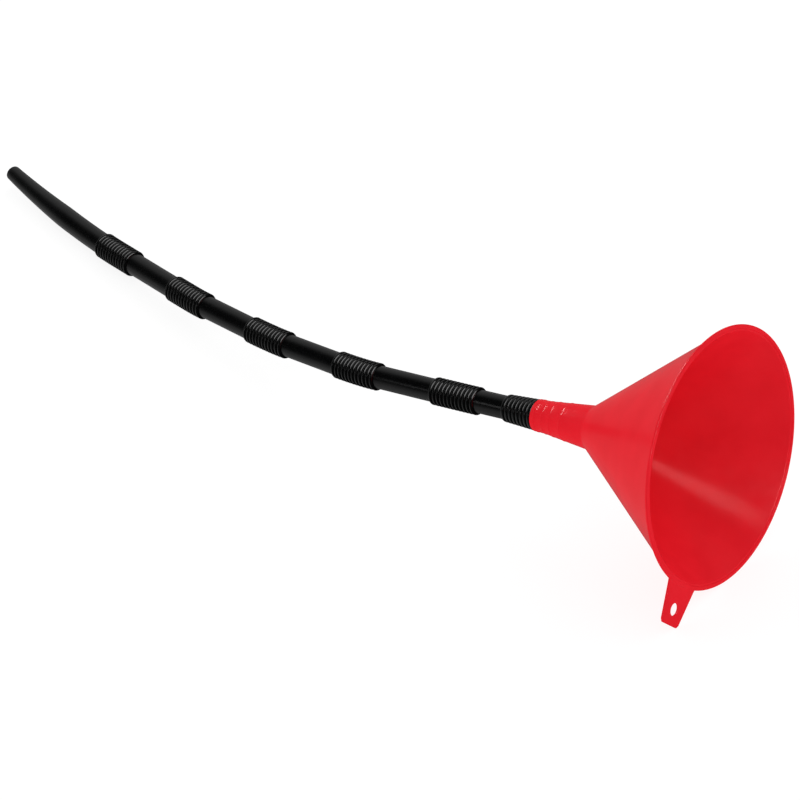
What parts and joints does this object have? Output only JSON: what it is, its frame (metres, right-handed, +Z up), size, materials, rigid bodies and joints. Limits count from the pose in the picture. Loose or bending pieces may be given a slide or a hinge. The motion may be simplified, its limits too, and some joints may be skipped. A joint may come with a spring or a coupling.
{
  "type": "flexible spout funnel",
  "caption": "Filling funnel with a conical bowl, a flat hang tab, and a long flexible spout of plain tube with bellows that bend.",
  "frame": {"origin": "centre of the bounding box's underside, on the surface that the funnel lies on", "axes": "+X towards the bowl's mouth, level with the surface; +Z up; the spout runs towards -X"},
  "size_m": [0.6056, 0.1576, 0.1499],
  "materials": {
    "red_plastic": "glossy moulded polyethylene",
    "black_plastic": "semi-gloss moulded polyethylene"
  },
  "bodies": {
    "bowl": {"bowl": "red_plastic", "spout_collar": "black_plastic", "spout_tube_1": "black_plastic"},
    "bellows_1": {"bellows_1_side_flex": "black_plastic", "bellows_1_link": "black_plastic", "bellows_1_lift_flex": "black_plastic"},
    "spout_tube_2": {"spout_tube_2": "black_plastic"},
    "bellows_2": {"bellows_2_side_flex": "black_plastic", "bellows_2_link": "black_plastic", "bellows_2_lift_flex": "black_plastic"},
    "spout_tube_3": {"spout_tube_3": "black_plastic"},
    "bellows_3": {"bellows_3_side_flex": "black_plastic", "bellows_3_link": "black_plastic", "bellows_3_lift_flex": "black_plastic"},
    "spout_tube_4": {"spout_tube_4": "black_plastic"},
    "bellows_4": {"bellows_4_side_flex": "black_plastic", "bellows_4_link": "black_plastic", "bellows_4_lift_flex": "black_plastic"},
    "spout_tube_5": {"spout_tube_5": "black_plastic"},
    "bellows_5": {"bellows_5_side_flex": "black_plastic", "bellows_5_link": "black_plastic", "bellows_5_lift_flex": "black_plastic"},
    "spout_tip": {"spout_tip": "black_plastic"}
  },
  "joints": [
    {"name": "bellows_1_side", "type": "hinge", "parent": "bowl", "child": "bellows_1", "pos_m": [0.11627, -0.00278, 0.04421], "axis": [0.1754, 0, -0.9845], "range_deg": [-30.6, 29.4], "deforming": ["bellows_1_side_flex"]},
    {"name": "bellows_1_lift", "type": "hinge", "parent": "bellows_1", "child": "spout_tube_2", "pos_m": [0.10021, -0.00262, 0.04135], "axis": [0.0103, 0.9999, 0.0018], "range_deg": [-30.2, 29.8], "deforming": ["bellows_1_lift_flex"]},
    {"name": "bellows_2_side", "type": "hinge", "parent": "spout_tube_2", "child": "bellows_2", "pos_m": [0.04325, -0.0019, 0.03141], "axis": [0.1719, 0, -0.9851], "range_deg": [-35, 25], "deforming": ["bellows_2_side_flex"]},
    {"name": "bellows_2_lift", "type": "hinge", "parent": "bellows_2", "child": "spout_tube_3", "pos_m": [0.02723, -0.00042, 0.02868], "axis": [0.0961, 0.9952, 0.0168], "range_deg": [-32.9, 27.1], "deforming": ["bellows_2_lift_flex"]},
    {"name": "bellows_3_side", "type": "hinge", "parent": "spout_tube_3", "child": "bellows_3", "pos_m": [-0.02987, 0.00531, 0.02163], "axis": [0.1219, 0.005, -0.9925], "range_deg": [-34.3, 25.7], "deforming": ["bellows_3_side_flex"]},
    {"name": "bellows_3_lift", "type": "hinge", "parent": "bellows_3", "child": "spout_tube_4", "pos_m": [-0.04585, 0.00802, 0.01973], "axis": [0.1699, 0.9851, 0.0258], "range_deg": [-32.2, 27.8], "deforming": ["bellows_3_lift_flex"]},
    {"name": "bellows_4_side", "type": "hinge", "parent": "spout_tube_4", "child": "bellows_4", "pos_m": [-0.10259, 0.01803, 0.01499], "axis": [0.0843, 0.0116, -0.9964], "range_deg": [-34.4, 25.6], "deforming": ["bellows_4_side_flex"]},
    {"name": "bellows_4_lift", "type": "hinge", "parent": "bellows_4", "child": "spout_tube_5", "pos_m": [-0.11838, 0.02196, 0.01372], "axis": [0.2447, 0.9691, 0.032], "range_deg": [-30.6, 29.4], "deforming": ["bellows_4_lift_flex"]},
    {"name": "bellows_5_side", "type": "hinge", "parent": "spout_tube_5", "child": "bellows_5", "pos_m": [-0.17428, 0.03621, 0.00975], "axis": [0.0742, 0.0142, -0.9971], "range_deg": [-30, 30], "deforming": ["bellows_5_side_flex"]},
    {"name": "bellows_5_lift", "type": "hinge", "parent": "bellows_5", "child": "spout_tip", "pos_m": [-0.19006, 0.04022, 0.00869], "axis": [0.2447, 0.9691, 0.032], "range_deg": [-32.6, 27.4], "deforming": ["bellows_5_lift_flex"]}
  ]
}
